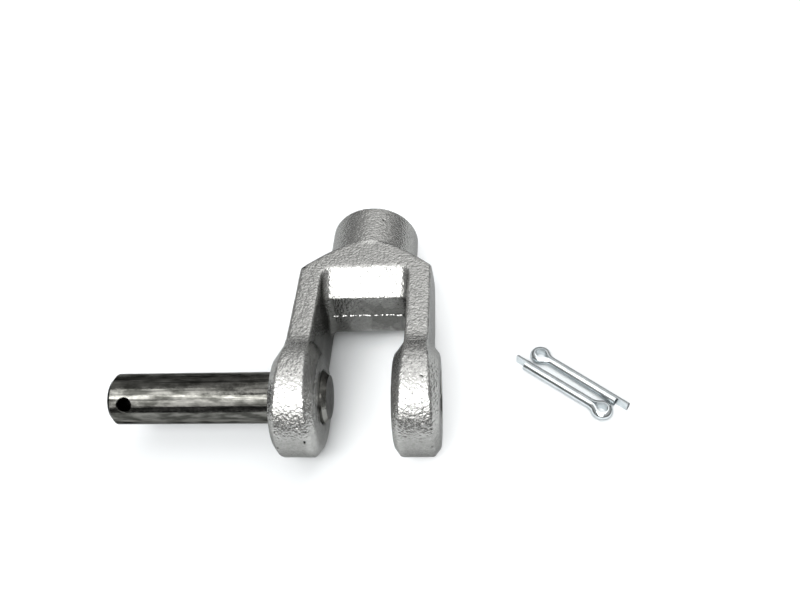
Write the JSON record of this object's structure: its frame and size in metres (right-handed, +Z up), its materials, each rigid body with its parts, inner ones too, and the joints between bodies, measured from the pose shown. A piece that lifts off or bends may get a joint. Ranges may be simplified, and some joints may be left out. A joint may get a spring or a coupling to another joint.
{
  "type": "clevis rod end",
  "caption": "Forged fork rod end with a threaded rod socket, a cross bore through both ears, a drilled cross pin drawn part way out and the loose split pins that lock it.",
  "frame": {"origin": "on the cross bore's axis, midway between the ears, 18.3 mm above the surface it lies on", "axes": "+X along the cross bore, from the cross pin's side to the free ear; +Y towards the rod socket; +Z up from the surface. The fork's own axis is 1.97 degrees below +Y, because it lies on its ears and on the edge of its thinner boss."},
  "size_m": [0.163, 0.0927, 0.0366],
  "materials": {
    "yoke_steel": "forged steel with a silver-grey zinc coat, coarse orange-peel grain",
    "pin_steel": "bare dark steel bar, lightly drawn lengthwise and mottled",
    "split_pin_steel": "bright zinc plate, slightly blue"
  },
  "bodies": {
    "clevis": {"clevis_yoke": "yoke_steel", "split_pin_1": "split_pin_steel", "split_pin_2": "split_pin_steel"},
    "cross_pin": {"clevis_pin": "pin_steel"}
  },
  "joints": [
    {"name": "pin_slide", "type": "slide", "parent": "clevis", "child": "cross_pin", "axis": [1, 0, 0], "range_m": [-0.016, 0.0435]}
  ]
}
